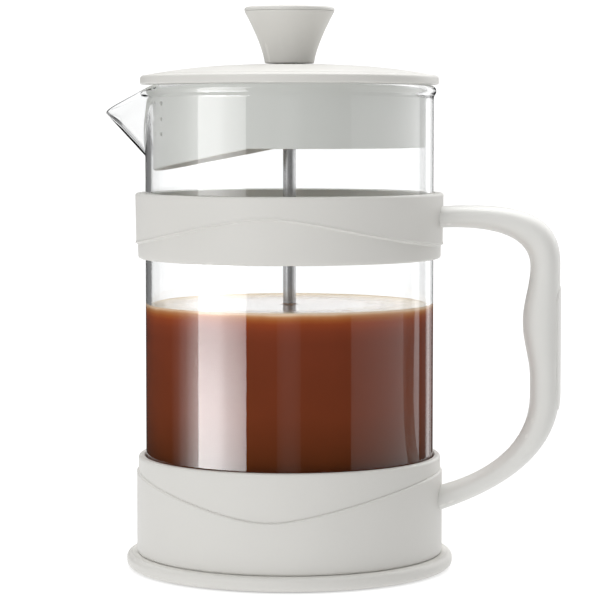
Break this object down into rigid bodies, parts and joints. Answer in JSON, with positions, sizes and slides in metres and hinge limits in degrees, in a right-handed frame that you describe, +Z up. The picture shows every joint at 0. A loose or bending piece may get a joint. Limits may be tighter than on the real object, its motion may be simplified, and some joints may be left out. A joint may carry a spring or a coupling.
{
  "type": "french press",
  "caption": "French press: glass beaker with a pouring spout in a light grey plastic frame with a loop handle, domed lid with strainer skirt, and a plunger with knob, rod and filter stack.",
  "frame": {"origin": "centre of the foot's underside, on the beaker's axis, in the plane that the press stands on", "axes": "+Z up along the beaker's axis, +X to the handle, -X to the spout, +Y across"},
  "size_m": [0.1558, 0.1114, 0.191],
  "materials": {
    "grey_plastic": "satin moulded plastic, warm light grey",
    "clear_glass": "clear polished borosilicate glass",
    "steel": "polished stainless steel",
    "steel_mesh": "fine woven stainless mesh",
    "silicone": "matt grey silicone",
    "brass": "turned brass"
  },
  "bodies": {
    "frame": {"non_slip_ring": "silicone", "foot_ring": "grey_plastic", "base_cup": "grey_plastic", "glass_cushion": "silicone", "upper_band": "grey_plastic", "handle": "grey_plastic", "handle_pad": "grey_plastic", "handle_screws": "steel"},
    "beaker": {"glass_beaker": "clear_glass"},
    "bush": {"guide_bush": "steel"},
    "lid": {"lid_cover": "grey_plastic", "strainer_skirt": "grey_plastic"},
    "plunger": {"knob": "grey_plastic", "knob_cap": "grey_plastic", "knob_insert": "brass", "plunger_rod": "steel", "rod_collar": "steel", "spiral_plate": "steel", "edge_spring": "steel", "mesh_screen": "steel_mesh", "cross_plate": "steel", "cross_plate_nut": "steel"}
  },
  "joints": [
    {"name": "beaker_lift", "type": "slide", "parent": "frame", "child": "beaker", "axis": [0, 0, 1], "range_m": [0, 0.13]},
    {"name": "lid_lift", "type": "slide", "parent": "beaker", "child": "bush", "axis": [0, 0, 1], "range_m": [0, 0.165]},
    {"name": "lid_turn", "type": "hinge", "parent": "bush", "child": "lid", "pos_m": [0, 0, 0.165], "axis": [0, 0, 1], "continuous": true},
    {"name": "plunger_slide", "type": "slide", "parent": "bush", "child": "plunger", "axis": [0, 0, 1], "range_m": [0, 0.113]}
  ]
}
